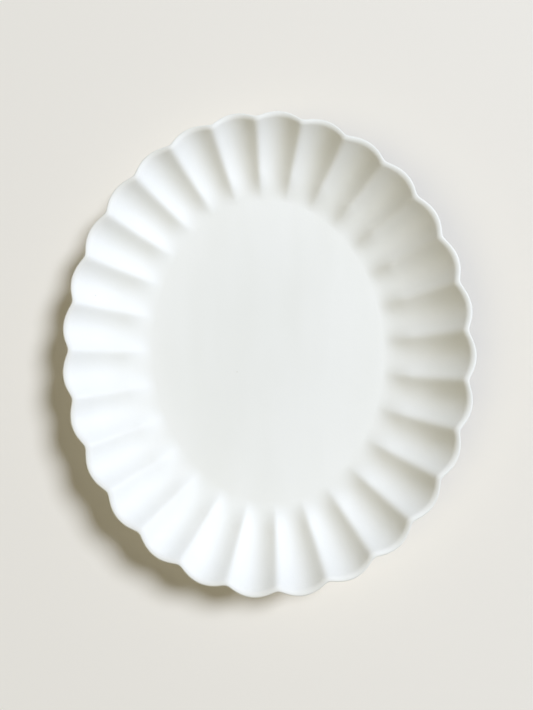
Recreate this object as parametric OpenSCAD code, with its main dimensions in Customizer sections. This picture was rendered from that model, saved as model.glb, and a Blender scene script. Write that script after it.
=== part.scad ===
// Oval serving platter with a petalled rim, glazed all over except for the tread of its foot.
// Millimetres. +Z is up, +Y runs along the platter and the foot ring stands on z = 0.

/* [Outline] */
// Length of the oval that the petal tips touch
oval_length = 302; // [260:1:360]
// Width of the oval that the petal tips touch
oval_width = 254; // [220:1:300]
// Number of petals around the rim
petal_count = 28; // [20:4:36]
// How far the rim steps in from a petal tip to the ridge beside it
scallop_depth = 4.2; // [1:0.1:7]

/* [Wall] */
// Distance from the petal tips in to the edge of the flat well
well_inset = 52; // [44:1:60]
// Height of a petal's wall above the well, up to where the lip starts
wall_height = 21.2; // [15:0.2:27]
// Slope of the wall, in degrees, where it leaves the curve around the well
base_slope = 11; // [6:0.5:16]
// Radius of the curve around the well
well_fillet = 42; // [25:1:60]

/* [Petals] */
// Depth of a petal's hollow at the rim, below the ridges beside it
petal_depth = 5.8; // [2:0.1:7]
// Rounding of the ridges between the petals
ridge_round = 2.4; // [1:0.1:6]
// Distance over which the ridges rise out of the well's edge
ridge_fade = 18; // [14:1:36]

/* [Lip] */
// Radius of the lip's inner side, which rolls the wall over to level
lip_roll = 4.4; // [2:0.1:6]
// Radius of the lip's outer edge
lip_edge = 1.1; // [0.8:0.05:1.6]

/* [Thickness] */
// Thickness of the clay under the well
floor_thickness = 4.6; // [3:0.1:7]
// Thickness of the glaze
glaze_thickness = 0.4; // [0.2:0.05:0.6]

/* [Foot] */
// Height of the foot ring under the clay of the well
foot_height = 4; // [2.5:0.5:8]
// Width of the foot ring
foot_width = 6; // [4:0.5:10]
// Distance from the edge of the well in to the foot ring
foot_inset = 4; // [2:0.5:10]
// Height of the bare clay left at the bottom of the foot ring's sides
bare_height = 1.4; // [1:0.1:2]
// Size of the bevels along the foot ring's lower edges
tread_bevel = 0.8; // [0.3:0.1:1]

/* [Hidden] */
// Facets across one petal, up the wall, over the lip's inner side, around its edge and down the underside
petal_facets = 6;
wall_facets = 7;
roll_facets = 2;
edge_facets = 3;
under_facets = 5;
lip_facets = roll_facets + edge_facets;
// Steps in which the oval is measured, and half the distance over which a slope is taken
walk_steps = 720;
slope_reach = 0.01;
// How far a cut runs past the faces that it opens
cut_reach = 1;

// The oval through the petal tips, measured along its edge
half_length = oval_length / 2;
half_width = oval_width / 2;
walk_turn = 360 / walk_steps;
oval_walk = [
    for (k = 0, s = 0; k <= walk_steps;
        s = s + norm(oval_point((k + 1) * walk_turn) - oval_point(k * walk_turn)), k = k + 1)
        [s, k * walk_turn]
];
perimeter = oval_walk[walk_steps][0];
petal_width = perimeter / petal_count;

// Columns of points, evenly spaced along the oval, with a ridge on the +X axis
column_count = petal_count * petal_facets;
columns = [0 : column_count - 1];
turns = [for (i = columns) lookup(i / column_count * perimeter, oval_walk)];
edges = [for (i = columns) oval_point(turns[i])];
outward = [for (i = columns) oval_normal(turns[i])];
lobes = [for (i = columns) ridge_share((i % petal_facets) / petal_facets)];

// Section through the middle of a petal: flat well, curve around it, then one arc up to the lip
fillet_run = well_fillet * sin(base_slope);
fillet_rise = well_fillet * (1 - cos(base_slope));
rim_inset = lip_edge + lip_roll * sin(rim_slope_at(lip_edge + lip_roll / 2));
rim_slope = rim_slope_at(rim_inset);
wall_radius = (well_inset - rim_inset - fillet_run) / (sin(rim_slope) - sin(base_slope));

// Levels of the floor and thickness of clay and glaze together
floor_top = foot_height + floor_thickness + glaze_thickness;
floor_total = floor_thickness + 2 * glaze_thickness;

// Edges of the foot ring, as distances in from the oval through the petal tips
foot_outer = well_inset + foot_inset;
foot_inner = foot_outer + foot_width;

function oval_point(t) = [half_width * cos(t), half_length * sin(t)];

function oval_normal(t) =
    let (n = [half_length * cos(t), half_width * sin(t)])
    n / norm(n);

function rim_slope_at(inset) =
    2 * atan((wall_height - fillet_rise) / (well_inset - inset - fillet_run)) - base_slope;

// 1 on a ridge and 0 in the middle of a petal, for a place given as a share of the petal's width
function ridge_share(place) =
    let (
        off = min(place, 1 - place),
        round = ridge_round / petal_width,
        rise = norm([off, round]) - round,
        full = norm([0.5, round]) - round
    )
    pow(1 - rise / full, 2);

function ease(x) =
    let (s = min(1, max(0, x)))
    s * s * (3 - 2 * s);

function wall_rise(run) =
    run <= 0 ? 0
    : run < fillet_run ? well_fillet - sqrt(well_fillet * well_fillet - run * run)
    : fillet_rise + wall_radius
        * (cos(base_slope) - cos(asin(sin(base_slope) + (run - fillet_run) / wall_radius)));

// Ridges sink with the square of the petal's width towards the well, as between hollows of one radius
function ridge_rise(inset) =
    petal_depth * pow((perimeter - 2 * PI * inset) / (perimeter - 2 * PI * rim_inset), 2)
        * ease((well_inset - inset) / ridge_fade);

function inside_height(inset, lobe) =
    floor_top + wall_rise(well_inset - inset) + lobe * ridge_rise(inset);

function inside_slope(inset, lobe) =
    inset >= well_inset ? 0
    : atan((inside_height(inset - slope_reach, lobe) - inside_height(inset + slope_reach, lobe))
        / (2 * slope_reach));

// Place and slope of the wall's upper end, where the lip starts
function rim_at(lobe) = rim_inset + scallop_depth * lobe;

function rim_slope_of(lobe) = inside_slope(rim_at(lobe), lobe);

// Thickness of the platter across the lip and, for a climb of 0 at the well to 1 at the lip, across the wall
function lip_thickness(lobe) =
    let (slope = rim_slope_of(lobe))
    lip_roll * (1 - cos(slope)) + lip_edge * (1 + cos(slope));

function wall_thickness(lobe, climb) =
    lip_thickness(lobe) + (floor_total - lip_thickness(lobe)) * pow(1 - climb, 2);

// The way that a surface faces, as inset and height, when it leans outward by tilt degrees from level
function facing(tilt) = [-sin(tilt), cos(tilt)];

// Inset and height of a point of the wall, depth millimetres below its inside surface
function wall_section(lobe, climb, depth) =
    let (
        inset = well_inset + (rim_at(lobe) - well_inset) * climb,
        slope = inside_slope(inset, lobe)
    )
    [inset, inside_height(inset, lobe)] - depth * facing(-slope);

// The same for a point of the lip, which turns from the wall's slope over level and around to the underside
function lip_section(lobe, step, depth) =
    let (
        slope = rim_slope_of(lobe),
        tilt = step < roll_facets
            ? slope * (step / roll_facets - 1)
            : (180 - slope) * (step - roll_facets) / edge_facets
    )
    wall_section(lobe, 1, 0)
        + lip_roll * (facing(min(0, tilt)) - facing(-slope))
        + lip_edge * (facing(max(0, tilt)) - facing(0))
        - depth * facing(tilt);

function placed(i, section) =
    let (p = edges[i] - outward[i] * section[0])
    [p[0], p[1], section[1]];

function wall_ring(climb, depth) = [for (i = columns) placed(i, wall_section(lobes[i], climb, depth))];

function under_ring(climb, depth) = [
    for (i = columns)
        placed(i, wall_section(lobes[i], climb, wall_thickness(lobes[i], climb) - depth))
];

function lip_ring(step, depth) = [for (i = columns) placed(i, lip_section(lobes[i], step, depth))];

function flat_ring(inset, z) = [for (i = columns) placed(i, [inset, z])];

function flat_loop(inset) = [for (i = columns) edges[i] - outward[i] * inset];

// Rings of the inside, of the lip and of the underside, depth millimetres into the platter
function inside_rings(depth) = [for (j = [0 : wall_facets]) wall_ring(j / wall_facets, depth)];

function lip_rings(depth) = [for (k = [1 : lip_facets]) lip_ring(k, depth)];

function under_rings(depth) = [for (j = [0 : under_facets]) under_ring(j / under_facets, depth)];

function reversed(list) = [for (k = [len(list) - 1 : -1 : 0]) list[k]];

// Two facets between neighbouring columns of rings a and b, split along one diagonal or the other
function facet_pair(a, b, i, k, split_out) =
    split_out
    ? [[a + i, a + k, b + k], [a + i, b + k, b + i]]
    : [[a + i, a + k, b + i], [a + k, b + k, b + i]];

// Solid through a list of rings, closed by flat ends or joined from the last ring to the first
module loft(rings, split_out, flat_ends) {
    n = column_count;
    strips = flat_ends ? len(rings) - 1 : len(rings);
    sides = [
        for (j = [0 : strips - 1], i = columns)
            each facet_pair(j * n, (j + 1) % len(rings) * n, i, (i + 1) % n, split_out)
    ];
    ends = flat_ends
        ? [reversed([for (i = columns) i]), [for (i = columns) (len(rings) - 1) * n + i]]
        : [];
    polyhedron(points = [for (ring = rings) each ring], faces = concat(sides, ends), convexity = 10);
}

// Wedge along one lower edge of the foot ring; side is 1 at its inner edge and -1 at its outer edge
module bevel_cut(inset, side) {
    foot = flat_ring(inset + side * cut_reach, -cut_reach);
    above = flat_ring(inset + side * cut_reach, tread_bevel + cut_reach);
    under = flat_ring(inset - side * (tread_bevel + cut_reach), -cut_reach);
    loft(side > 0 ? [foot, above, under] : [foot, under, above], split_out = true, flat_ends = false);
}

// Press-moulded clay dish
module platter_body() {
    color([0.87, 0.83, 0.75])
        loft(
            concat(
                inside_rings(glaze_thickness),
                lip_rings(glaze_thickness),
                reversed(under_rings(glaze_thickness))
            ),
            split_out = true,
            flat_ends = true
        );
}

// Clay ring under the well, with the flat bare tread that the platter stands on
module foot_ring() {
    color([0.80, 0.75, 0.66])
        difference() {
            linear_extrude(height = foot_height)
                difference() {
                    polygon(flat_loop(foot_outer));
                    polygon(flat_loop(foot_inner));
                }
            bevel_cut(foot_outer, -1);
            bevel_cut(foot_inner, 1);
        }
}

// Glaze over the inside and around the lip
module upper_glaze() {
    color([0.93, 0.94, 0.92])
        loft(
            concat(
                inside_rings(0),
                lip_rings(0),
                reversed(lip_rings(glaze_thickness)),
                reversed(inside_rings(glaze_thickness))
            ),
            split_out = false,
            flat_ends = true
        );
}

// Glaze over the underside and down the outside of the foot ring, as far as the bare clay
module under_glaze() {
    color([0.91, 0.92, 0.90])
        loft(
            concat(
                [flat_ring(foot_outer, bare_height), flat_ring(foot_outer, foot_height)],
                under_rings(glaze_thickness),
                [lip_ring(lip_facets, glaze_thickness), lip_ring(lip_facets, 0)],
                reversed(under_rings(0)),
                [
                    flat_ring(foot_outer - glaze_thickness, foot_height - glaze_thickness),
                    flat_ring(foot_outer - glaze_thickness, bare_height)
                ]
            ),
            split_out = false,
            flat_ends = false
        );
}

// Glaze over the base inside the foot ring and down the ring's inner side
module base_glaze() {
    color([0.91, 0.92, 0.90])
        difference() {
            translate([0, 0, bare_height])
                linear_extrude(height = foot_height - bare_height)
                    polygon(flat_loop(foot_inner));
            linear_extrude(height = foot_height - glaze_thickness)
                polygon(flat_loop(foot_inner + glaze_thickness));
        }
}

platter_body();
foot_ring();
upper_glaze();
under_glaze();
base_glaze();
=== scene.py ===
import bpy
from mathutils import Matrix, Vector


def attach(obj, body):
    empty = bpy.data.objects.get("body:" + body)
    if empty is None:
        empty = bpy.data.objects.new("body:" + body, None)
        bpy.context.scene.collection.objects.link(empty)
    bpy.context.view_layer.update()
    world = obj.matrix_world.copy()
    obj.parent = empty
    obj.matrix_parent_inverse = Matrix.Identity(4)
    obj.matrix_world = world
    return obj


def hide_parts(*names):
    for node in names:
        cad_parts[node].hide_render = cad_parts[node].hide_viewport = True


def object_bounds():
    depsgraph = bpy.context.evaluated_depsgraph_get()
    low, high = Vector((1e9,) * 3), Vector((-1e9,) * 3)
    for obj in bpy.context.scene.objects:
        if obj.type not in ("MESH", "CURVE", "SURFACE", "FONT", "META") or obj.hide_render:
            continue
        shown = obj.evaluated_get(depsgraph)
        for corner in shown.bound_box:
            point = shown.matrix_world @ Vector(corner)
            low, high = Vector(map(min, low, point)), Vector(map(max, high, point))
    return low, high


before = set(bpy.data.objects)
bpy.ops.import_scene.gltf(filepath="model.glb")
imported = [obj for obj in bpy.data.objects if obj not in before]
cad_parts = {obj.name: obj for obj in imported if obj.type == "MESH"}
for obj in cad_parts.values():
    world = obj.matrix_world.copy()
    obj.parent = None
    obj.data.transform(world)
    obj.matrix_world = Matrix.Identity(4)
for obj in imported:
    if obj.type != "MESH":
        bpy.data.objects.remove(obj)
cad_box = [list(corner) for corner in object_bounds()]

import math

import bpy
import numpy as np
from mathutils import Matrix, Vector

MM_PER_METRE = 1000

# Sizes of the platter in millimetres, and the slope of its wall's foot, the same as in the part's source
OVAL_LENGTH = 302.0
OVAL_WIDTH = 254.0
PETALS = 28
SCALLOP_DEPTH = 4.2
WELL_INSET = 52.0
WALL_HEIGHT = 21.2
BASE_SLOPE = math.radians(11.0)
WELL_FILLET = 42.0
PETAL_DEPTH = 5.8
RIDGE_ROUND = 2.4
RIDGE_FADE = 18.0
LIP_ROLL = 4.4
LIP_EDGE = 1.1
FLOOR_THICKNESS = 4.6
GLAZE = 0.4
FOOT_HEIGHT = 4.0
FOOT_WIDTH = 6.0
FOOT_INSET = 4.0
BARE_HEIGHT = 1.4

# Heights, a thickness and insets that follow from these
FLOOR_TOP = FOOT_HEIGHT + FLOOR_THICKNESS + GLAZE
UNDER_LEVEL = FOOT_HEIGHT - GLAZE
FLOOR_TOTAL = FLOOR_THICKNESS + 2 * GLAZE
FOOT_OUTER = WELL_INSET + FOOT_INSET
FOOT_INNER = FOOT_OUTER + FOOT_WIDTH

# Finer sizes in millimetres, which only this model has
TREAD_ROUND = 1.0
FOOT_FILLET = 1.3
FOOT_GAP = 0.05
FOOT_COLLAR = 0.5
CLAY_GAP = 0.02
LINE_RAISE = 0.3
LINE_WAVER = 0.22

# Points along one petal's width, and rings up each surface
PETAL_STEPS = 20
FLOOR_RINGS = 18
WALL_RINGS = 56
ROLL_RINGS = 9
EDGE_RINGS = 10
LIP_RINGS = ROLL_RINGS + EDGE_RINGS
UNDER_RINGS = 36
FILLET_RINGS = 6
LINE_RINGS = 4
BASE_RINGS = 12
TREAD_RINGS = 8

# Hidden faces have every second ring of the wall, and fewer rings on the lip
HIDDEN_STRIDE = 2
HIDDEN_ROLL_RINGS = 3
HIDDEN_EDGE_RINGS = 4

# Size of the innermost ring of a flat face, as a share of its outline
CAP_SHARE = 0.1


# The oval, walked in equal steps along its edge
WALK_STEPS = 14400
half_width = OVAL_WIDTH / 2
half_length = OVAL_LENGTH / 2
fine = np.linspace(0, 2 * np.pi, WALK_STEPS + 1)
steps = np.hypot(np.diff(half_width * np.cos(fine)), np.diff(half_length * np.sin(fine)))
walked = np.concatenate([[0], np.cumsum(steps)])
perimeter = walked[-1]
count = PETALS * PETAL_STEPS
share = np.arange(count) / count
turn = np.interp(share * perimeter, walked, fine)
edge = np.stack([half_width * np.cos(turn), half_length * np.sin(turn)], 1)
out = np.stack([half_length * np.cos(turn), half_width * np.sin(turn)], 1)
out /= np.linalg.norm(out, axis=1)[:, None]

# How far each point is up a ridge: 1 on the ridge between two petals, 0 in the middle of a petal
place = (share * PETALS) % 1.0
soft = RIDGE_ROUND / (perimeter / PETALS)
rise = np.hypot(np.minimum(place, 1 - place), soft) - soft
lobe = (1 - rise / (math.hypot(0.5, soft) - soft)) ** 2


# The section through a petal: flat well, curve around it, one arc up to the lip
SLOPE_REACH = 0.01
fillet_run = WELL_FILLET * math.sin(BASE_SLOPE)
fillet_rise = WELL_FILLET * (1 - math.cos(BASE_SLOPE))


def rim_slope_at(inset):
    return 2 * math.atan((WALL_HEIGHT - fillet_rise) / (WELL_INSET - inset - fillet_run)) - BASE_SLOPE


rim_inset = LIP_EDGE + LIP_ROLL * math.sin(rim_slope_at(LIP_EDGE + LIP_ROLL / 2))
rim_slope = rim_slope_at(rim_inset)
wall_radius = (WELL_INSET - rim_inset - fillet_run) / (math.sin(rim_slope) - math.sin(BASE_SLOPE))


def wall_rise(run):
    low = np.clip(run, 0, fillet_run)
    high = np.maximum(run - fillet_run, 0)
    sine = np.clip(math.sin(BASE_SLOPE) + high / wall_radius, -1, 1)
    arc = wall_radius * (math.cos(BASE_SLOPE) - np.sqrt(1 - sine ** 2))
    return WELL_FILLET - np.sqrt(WELL_FILLET ** 2 - low ** 2) + arc


def ease(value):
    held = np.clip(value, 0, 1)
    return held * held * (3 - 2 * held)


def ridge_rise(inset):
    width = (perimeter - 2 * math.pi * inset) / (perimeter - 2 * math.pi * rim_inset)
    return PETAL_DEPTH * width ** 2 * ease((WELL_INSET - inset) / RIDGE_FADE)


def inside_height(inset):
    return FLOOR_TOP + wall_rise(WELL_INSET - inset) + lobe * ridge_rise(inset)


def inside_slope(inset):
    climbed = inside_height(inset - SLOPE_REACH) - inside_height(inset + SLOPE_REACH)
    return np.arctan(climbed / (2 * SLOPE_REACH))


# Place and slope of the wall's upper end, and the thickness of the lip that starts there
rim_at = rim_inset + SCALLOP_DEPTH * lobe
lip_slope = inside_slope(rim_at)
lip_thickness = LIP_ROLL * (1 - np.cos(lip_slope)) + LIP_EDGE * (1 + np.cos(lip_slope))


def facing(tilt):
    return np.stack([-np.sin(tilt), np.cos(tilt)])


def wall_section(climb, depth):
    inset = WELL_INSET + (rim_at - WELL_INSET) * climb
    slope = inside_slope(inset) if climb > 0 else np.zeros(count)
    return np.stack([inset, inside_height(inset)]) - depth * facing(-slope)


def lip_section(tilt, depth):
    rolled = LIP_ROLL * (facing(np.minimum(tilt, 0)) - facing(-lip_slope))
    turned = LIP_EDGE * (facing(np.maximum(tilt, 0)) - facing(0 * tilt))
    return wall_section(1.0, 0.0) + rolled + turned - depth * facing(tilt)


def lip_tilts(over, around):
    roll = [lip_slope * (step / over - 1) for step in range(1, over + 1)]
    return roll + [(math.pi - lip_slope) * step / around for step in range(1, around + 1)]


def under_section(climb, depth):
    thickness = lip_thickness + (FLOOR_TOTAL - lip_thickness) * (1 - climb) ** 2
    return wall_section(climb, thickness - depth)


# Rings of points around the oval
def ring(inset, height):
    inset = np.broadcast_to(np.asarray(inset, float), count)
    height = np.broadcast_to(np.asarray(height, float), count)
    plan = edge - out * inset[:, None]
    return np.column_stack([plan, height])


def shrunk(inset, height, factor):
    flat = ring(inset, height)
    flat[:, :2] *= factor
    return flat


def flat_rings(inset, height, rings):
    factors = np.linspace(CAP_SHARE, 1, rings + 1)[:-1]
    return [shrunk(inset, height, factor) for factor in factors]


def quarter_turn(rings):
    return np.linspace(0, math.pi / 2, rings + 1)


# The height at which the glaze ends beside the foot, made uneven by slow waves around the oval
LINE_WAVES = range(6, 40)
OUTER_SEED = 5
INNER_SEED = 9


def glaze_line(seed):
    rng = np.random.default_rng(seed)
    total = np.zeros(count)
    for waves in LINE_WAVES:
        total += rng.normal() / waves * np.sin(2 * math.pi * (waves * share + rng.random()))
    return BARE_HEIGHT + LINE_RAISE + LINE_WAVER * (total / np.abs(total).max())


# Glaze that turns down beside the foot and ends there; away is -1 on its outer side and 1 on its inner
def beside_foot(side_inset, away, seed):
    line = glaze_line(seed)
    bend = side_inset + away * (GLAZE + FOOT_FILLET)
    rings = []
    for angle in quarter_turn(FILLET_RINGS):
        drop = FOOT_FILLET * (1 - math.cos(angle))
        rings.append(ring(bend - away * FOOT_FILLET * math.sin(angle), UNDER_LEVEL - drop))
    for angle in quarter_turn(LINE_RINGS):
        rings.append(ring(side_inset + away * GLAZE * math.cos(angle), line - GLAZE * math.sin(angle)))
    return rings


# The glazed coat from the middle of the well, over the lip and down to the bare foot
climbs = np.linspace(0, 1, WALL_RINGS + 1)
descents = np.linspace(1, 0, UNDER_RINGS + 1)
coat = flat_rings(WELL_INSET, FLOOR_TOP, FLOOR_RINGS)
coat += [ring(*wall_section(climb, 0.0)) for climb in climbs]
coat += [ring(*lip_section(tilt, 0.0)) for tilt in lip_tilts(ROLL_RINGS, EDGE_RINGS)]
seam = len(coat) - 1
coat += [ring(*under_section(climb, 0.0)) for climb in descents]
coat += beside_foot(FOOT_OUTER, -1, OUTER_SEED)

# The patch of glaze inside the foot ring
patch = flat_rings(FOOT_INNER + GLAZE + FOOT_FILLET, UNDER_LEVEL, BASE_RINGS)
patch += beside_foot(FOOT_INNER, 1, INNER_SEED)


# One side of the bare clay foot, its lower edge rounded; inward is 1 on its outer side and -1 on its inner
def foot_side(inset, inward):
    rings = [ring(inset, FOOT_HEIGHT - FOOT_GAP), ring(inset, FOOT_HEIGHT - FOOT_COLLAR)]
    for angle in quarter_turn(TREAD_RINGS):
        across = inward * TREAD_ROUND * (1 - math.cos(angle))
        rings.append(ring(inset + across, TREAD_ROUND * (1 - math.sin(angle))))
    return rings


foot = foot_side(FOOT_OUTER, 1) + foot_side(FOOT_INNER, -1)[::-1]


# Hidden faces between clay and glaze, first under the inside's coat and then under the outside's
def inner_faces(depth):
    upper = [ring(*wall_section(climb, depth)) for climb in climbs[::HIDDEN_STRIDE]]
    tilts = lip_tilts(HIDDEN_ROLL_RINGS, HIDDEN_EDGE_RINGS)
    upper += [ring(*lip_section(tilt, depth)) for tilt in tilts]
    return upper, [ring(*under_section(climb, depth)) for climb in descents[::HIDDEN_STRIDE]]


coat_upper, coat_lower = inner_faces(GLAZE)
clay_upper, clay_lower = inner_faces(GLAZE + CLAY_GAP)
inner_outside = [ring(FOOT_OUTER, FOOT_HEIGHT)] + coat_lower[::-1] + coat_upper[-1:]
inner_base = [shrunk(FOOT_INNER, FOOT_HEIGHT, CAP_SHARE), ring(FOOT_INNER, FOOT_HEIGHT)]


# How thin the glaze is: it runs off the lip, and off the ridges more and more up to the middle of the wall
THIN_RINGS = 6
RIDGE_THIN = 0.8
RIDGE_THIN_RINGS = 0.5 * WALL_RINGS
thinning = [step / THIN_RINGS for step in range(1, THIN_RINGS + 1)]
thin = [0.0] * (FLOOR_RINGS + WALL_RINGS + 1 - THIN_RINGS) + thinning + [1.0] * LIP_RINGS
thin += [1 - level for level in thinning]
thin += [0.0] * (len(coat) - len(thin))
thin_rows = [np.full(count, level) for level in thin]
for row in range(FLOOR_RINGS, seam + 1):
    grown = ease((row - FLOOR_RINGS) / RIDGE_THIN_RINGS)
    thin_rows[row] = np.maximum(thin_rows[row], RIDGE_THIN * lobe ** 3 * grown)


# The solids have flat facets across each petal, so the smooth surface is trimmed to the solids' box
furthest = np.abs(np.concatenate(coat)).max(axis=0)
trim = np.minimum(1.0, MM_PER_METRE * np.array(cad_box[1]) / furthest)

# Meshes: a capped one has a face at each end, and any other is joined from its last ring to its first
SHORTEST_NORMAL = 1e-12


def grid_normals(rings):
    grid = np.array(rings)
    along = np.roll(grid, -1, axis=1) - np.roll(grid, 1, axis=1)
    across = np.gradient(grid, axis=0)
    normal = np.cross(across, along)
    length = np.linalg.norm(normal, axis=2, keepdims=True)
    return list(normal / np.maximum(length, SHORTEST_NORMAL))


def sheet(name, rings, normals=None, capped=False):
    points = np.concatenate(rings) * trim
    here = np.arange(count)
    after = np.roll(here, -1)
    quads = []
    for row in range(len(rings) - 1 if capped else len(rings)):
        low = row * count
        high = (row + 1) % len(rings) * count
        quads.append(np.stack([low + here, high + here, high + after, low + after], 1))
    faces = np.concatenate(quads).tolist()
    if capped:
        faces += [here.tolist(), ((len(rings) - 1) * count + here)[::-1].tolist()]
    mesh = bpy.data.meshes.new(name)
    mesh.from_pydata((points / MM_PER_METRE).tolist(), [], faces)
    mesh.update()
    mesh.polygons.foreach_set("use_smooth", np.ones(len(mesh.polygons), bool))
    if normals is not None:
        mesh.normals_split_custom_set_from_vertices(np.concatenate(normals).tolist())
    piece = bpy.data.objects.new(name, mesh)
    bpy.context.scene.collection.objects.link(piece)
    return piece


def closed_coat(name, first, first_normals, first_thin, second, capped):
    piece = sheet(name, first + second, first_normals + grid_normals(second), capped)
    layer = piece.data.attributes.new("thin", "FLOAT", "POINT")
    levels = np.concatenate(first_thin + [np.zeros(count) for _ in second])
    layer.data.foreach_set("value", levels.astype(np.float32))
    return piece


coat_normals = grid_normals(coat)
inside = closed_coat(
    "glaze_inside", coat[:seam + 1], coat_normals[:seam + 1], thin_rows[:seam + 1], coat_upper[::-1], True
)
outside = closed_coat(
    "glaze_outside", coat[seam:], coat_normals[seam:], thin_rows[seam:], inner_outside, False
)
base_thin = [np.zeros(count) for _ in inner_base]
base = closed_coat(
    "glaze_base", inner_base, grid_normals(inner_base), base_thin, patch[::-1], True
)
tread = sheet("bare_foot", foot)
clay = sheet("clay_dish", clay_upper + clay_lower, capped=True)


# Materials: sizes in metres, and noise scales in waves to the metre
GLAZE_TONES = ((0.868, 0.862, 0.824), (0.893, 0.887, 0.855))
GLAZE_STREAKS = (0.9, 0.25, 1.0)
GLAZE_ROUGHNESS = (0.60, 0.72)
GLAZE_IOR = 1.5
THIN_GLAZE = (0.888, 0.876, 0.835)
THIN_STRENGTH = 0.6
PINHOLE = (0.52, 0.47, 0.38)
PINHOLE_STRENGTH = 0.55
CLAY_TONES = ((0.58, 0.51, 0.41), (0.68, 0.61, 0.50))
CLAY_ROUGHNESS = (0.78, 0.95)
CLAY_GRAIN = (0.46, 0.39, 0.30)
GRAIN_SPAN = (0.42, 0.7)
GRAIN_STRENGTH = (0.0, 0.45)
IRON_SPECK = (0.25, 0.17, 0.11)
IRON_STRENGTH = 0.7

# Parts of a noise's range that are spread out, and the range from nothing to all
NOISE_MIDDLE = (0.35, 0.65)
NOISE_BROAD = (0.3, 0.7)
FULL = (0.0, 1.0)

# Places of a mix node's colour sockets, as it has several sockets of the same name
MIX_FACTOR = 0
MIX_FIRST = 6
MIX_SECOND = 7
MIX_RESULT = 2


class Nodes:
    def __init__(self, name):
        self.material = bpy.data.materials.new(name)
        self.material.use_nodes = True
        self.tree = self.material.node_tree
        self.shader = self.tree.nodes["Principled BSDF"]

    def add(self, kind, **settings):
        node = self.tree.nodes.new(kind)
        for key, value in settings.items():
            setattr(node, key, value)
        return node

    def link(self, source, target):
        self.tree.links.new(source, target)

    # Sets a number or a colour on the socket itself, and links anything else to it
    def feed(self, socket, value):
        if isinstance(value, float):
            socket.default_value = value
        elif isinstance(value, tuple):
            socket.default_value = (*value, 1.0)
        else:
            self.link(value, socket)

    def to(self, socket, value):
        self.link(value, self.shader.inputs[socket])

    def coords(self):
        return self.add("ShaderNodeTexCoord").outputs["Object"]

    def stretched(self, where, scale):
        node = self.add("ShaderNodeMapping")
        node.inputs["Scale"].default_value = scale
        self.link(where, node.inputs["Vector"])
        return node.outputs["Vector"]

    def noise(self, where, scale, detail, rough=0.55):
        node = self.add("ShaderNodeTexNoise")
        node.inputs["Scale"].default_value = scale
        node.inputs["Detail"].default_value = detail
        node.inputs["Roughness"].default_value = rough
        self.link(where, node.inputs["Vector"])
        return node.outputs["Fac"]

    def span(self, value, source, target):
        node = self.add("ShaderNodeMapRange")
        limits = ("From Min", "From Max", "To Min", "To Max")
        for name, limit in zip(limits, (*source, *target)):
            node.inputs[name].default_value = limit
        self.link(value, node.inputs["Value"])
        return node.outputs["Result"]

    def math(self, kind, first, second):
        node = self.add("ShaderNodeMath", operation=kind)
        self.feed(node.inputs[0], first)
        self.feed(node.inputs[1], second)
        return node.outputs["Value"]

    def mix(self, factor, first, second):
        node = self.add("ShaderNodeMix", data_type="RGBA")
        self.link(factor, node.inputs[MIX_FACTOR])
        self.feed(node.inputs[MIX_FIRST], first)
        self.feed(node.inputs[MIX_SECOND], second)
        return node.outputs[MIX_RESULT]

    def specks(self, where, scale, size, keep):
        node = self.add("ShaderNodeTexVoronoi")
        node.inputs["Scale"].default_value = scale
        self.link(where, node.inputs["Vector"])
        dot = self.math("LESS_THAN", node.outputs["Distance"], size * scale)
        pick = self.add("ShaderNodeSeparateColor")
        self.link(node.outputs["Color"], pick.inputs["Color"])
        kept = self.math("LESS_THAN", pick.outputs["Red"], keep)
        return self.math("MULTIPLY", dot, kept)

    def bump(self, height, distance, strength, before=None):
        node = self.add("ShaderNodeBump")
        node.inputs["Strength"].default_value = strength
        node.inputs["Distance"].default_value = distance
        self.link(height, node.inputs["Height"])
        if before is not None:
            self.link(before, node.inputs["Normal"])
        return node.outputs["Normal"]


def glaze_material():
    nodes = Nodes("satin_white_glaze")
    where = nodes.coords()
    streaks = nodes.stretched(where, GLAZE_STREAKS)
    cloud = nodes.noise(streaks, scale=38.0, detail=1.5)
    colour = nodes.mix(nodes.span(cloud, NOISE_MIDDLE, FULL), *GLAZE_TONES)
    thin_here = nodes.add("ShaderNodeAttribute", attribute_name="thin").outputs["Fac"]
    colour = nodes.mix(nodes.math("MULTIPLY", thin_here, THIN_STRENGTH), colour, THIN_GLAZE)
    pinhole = nodes.specks(where, scale=46.0, size=0.00032, keep=0.16)
    colour = nodes.mix(nodes.math("MULTIPLY", pinhole, PINHOLE_STRENGTH), colour, PINHOLE)
    nodes.to("Base Color", colour)
    patchy = nodes.noise(where, scale=24.0, detail=4.0)
    nodes.to("Roughness", nodes.span(patchy, NOISE_BROAD, GLAZE_ROUGHNESS))
    grainy = nodes.noise(where, scale=620.0, detail=2.0)
    wavy = nodes.noise(streaks, scale=50.0, detail=1.5)
    unpitted = nodes.math("SUBTRACT", 1.0, pinhole)
    skin = nodes.bump(grainy, distance=0.00006, strength=0.5)
    slow = nodes.bump(wavy, distance=0.00035, strength=0.6, before=skin)
    nodes.to("Normal", nodes.bump(unpitted, distance=0.0002, strength=0.6, before=slow))
    nodes.shader.inputs["IOR"].default_value = GLAZE_IOR
    return nodes.material


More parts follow.
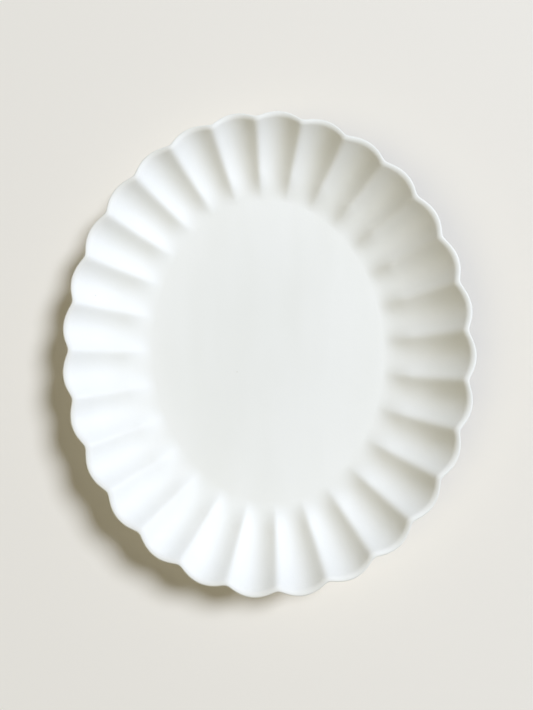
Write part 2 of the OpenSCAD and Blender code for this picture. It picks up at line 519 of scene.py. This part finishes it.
def clay_material():
    nodes = Nodes("bare_stoneware")
    where = nodes.coords()
    grain = nodes.noise(where, scale=900.0, detail=4.0, rough=0.65)
    cloud = nodes.noise(where, scale=70.0, detail=3.0)
    colour = nodes.mix(nodes.span(cloud, NOISE_MIDDLE, FULL), *CLAY_TONES)
    colour = nodes.mix(nodes.span(grain, GRAIN_SPAN, GRAIN_STRENGTH), colour, CLAY_GRAIN)
    iron = nodes.specks(where, scale=260.0, size=0.00022, keep=0.22)
    colour = nodes.mix(nodes.math("MULTIPLY", iron, IRON_STRENGTH), colour, IRON_SPECK)
    nodes.to("Base Color", colour)
    nodes.to("Roughness", nodes.span(grain, NOISE_BROAD, CLAY_ROUGHNESS))
    nodes.to("Normal", nodes.bump(grain, distance=0.00022, strength=0.7))
    return nodes.material


glaze = glaze_material()
bare = clay_material()
for piece, material, slot in (
    (inside, glaze, "glaze"),
    (outside, glaze, "glaze"),
    (base, glaze, "glaze"),
    (tread, bare, "clay"),
    (clay, bare, "clay"),
):
    piece.data.materials.append(material)
    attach(piece, "root")
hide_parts("upper_glaze")
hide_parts("under_glaze")
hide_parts("base_glaze")
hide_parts("foot_ring")
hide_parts("platter_body")


# Floor, in metres, which fades into the backdrop's colour away from the platter
BACKDROP = (0.80, 0.79, 0.745)
FLOOR_SEEN = (0.89, 0.845, 0.78)
FLOOR_BOUNCED = (0.72, 0.67, 0.56)
FLOOR_ROUGHNESS = 0.9
FLOOR_FADE = (0.5, 1.6)
FLOOR_REACH = 12.0
BLACK = (0.0, 0.0, 0.0)


# Finds the rays that show the background: the camera's own, and those of reflections and glass
def seen_rays(tree):
    path = tree.nodes.new("ShaderNodeLightPath")
    total = path.outputs["Is Camera Ray"]
    for kind in ("Is Glossy Ray", "Is Transmission Ray"):
        either = tree.nodes.new("ShaderNodeMath")
        either.operation = "MAXIMUM"
        tree.links.new(total, either.inputs[0])
        tree.links.new(path.outputs[kind], either.inputs[1])
        total = either.outputs["Value"]
    return total


def floor_material():
    nodes = Nodes("pale_floor")
    seen = seen_rays(nodes.tree)
    away = nodes.add("ShaderNodeVectorMath", operation="LENGTH")
    nodes.link(nodes.coords(), away.inputs[0])
    far = nodes.span(away.outputs["Value"], FLOOR_FADE, FULL)
    fade = nodes.math("MULTIPLY", far, seen)
    near = nodes.mix(seen, FLOOR_BOUNCED, FLOOR_SEEN)
    nodes.to("Base Color", nodes.mix(fade, near, BLACK))
    nodes.to("Emission Color", nodes.mix(fade, BLACK, BACKDROP))
    nodes.shader.inputs["Emission Strength"].default_value = 1.0
    nodes.shader.inputs["Roughness"].default_value = FLOOR_ROUGHNESS
    nodes.shader.inputs["Specular IOR Level"].default_value = 0.0
    return nodes.material


def floor_piece():
    mesh = bpy.data.meshes.new("floor")
    corners = ((-1, -1), (1, -1), (1, 1), (-1, 1))
    mesh.from_pydata([(FLOOR_REACH * x, FLOOR_REACH * y, 0) for x, y in corners], [], [(0, 1, 2, 3)])
    mesh.materials.append(floor_material())
    piece = bpy.data.objects.new("floor", mesh)
    bpy.context.scene.collection.objects.link(piece)


floor_piece()


# Light: a cool soft lamp from the upper right, and a weak, warm and broad one from the other side
LAMP_DISTANCE = 6.0


# Makes a round lamp that faces the platter; angles are in degrees, the size in metres, the energy in watts
def soft_lamp(name, azimuth, height, size, energy, colour):
    lamp = bpy.data.lights.new(name, "AREA")
    lamp.shape = "DISK"
    lamp.size = size
    lamp.energy = energy
    lamp.color = colour
    holder = bpy.data.objects.new(name, lamp)
    bpy.context.scene.collection.objects.link(holder)
    around = math.radians(azimuth)
    lift = math.radians(height)
    aim = Vector((math.cos(around) * math.cos(lift), math.sin(around) * math.cos(lift), math.sin(lift)))
    holder.location = aim * LAMP_DISTANCE
    holder.rotation_euler = (-aim).to_track_quat("-Z", "Y").to_euler()


soft_lamp("key", azimuth=26.0, height=46.0, size=2.0, energy=398.0, colour=(0.835, 0.895, 1.0))
soft_lamp("fill", azimuth=206.0, height=50.0, size=4.0, energy=115.0, colour=(1.0, 0.93, 0.67))

# The world shows the backdrop's colour to the camera and in reflections, and gives no other light
world = bpy.data.worlds.new("studio")
bpy.context.scene.world = world
world.use_nodes = True
backdrop = world.node_tree.nodes["Background"]
backdrop.inputs["Color"].default_value = (*BACKDROP, 1.0)
world.node_tree.links.new(seen_rays(world.node_tree), backdrop.inputs["Strength"])


# Camera: held almost straight above the platter, as a phone is
CAMERA_PLACE = Vector((8.46, -49.8, 353.6)) / MM_PER_METRE
CAMERA_LOOK = Vector((-0.027, 0.126, -0.992)).normalized()
CAMERA_UP = Vector((0.048, 0.991, 0.125))
PHOTO_HEIGHT_PIXELS = 710
FOCAL_PIXELS = 533
SENSOR_MM = 36.0
NEAREST_SEEN = 0.01
camera_data = bpy.data.cameras.new("camera")
camera_data.sensor_width = SENSOR_MM
camera_data.lens = SENSOR_MM * FOCAL_PIXELS / PHOTO_HEIGHT_PIXELS
camera_data.clip_start = NEAREST_SEEN
camera = bpy.data.objects.new("camera", camera_data)
bpy.context.scene.collection.objects.link(camera)
side = CAMERA_LOOK.cross(CAMERA_UP).normalized()
top = side.cross(CAMERA_LOOK)
turned = Matrix((side, top, -CAMERA_LOOK)).transposed().to_4x4()
camera.matrix_world = Matrix.Translation(CAMERA_PLACE) @ turned
bpy.context.scene.camera = camera
bpy.context.scene.view_settings.view_transform = "Standard"
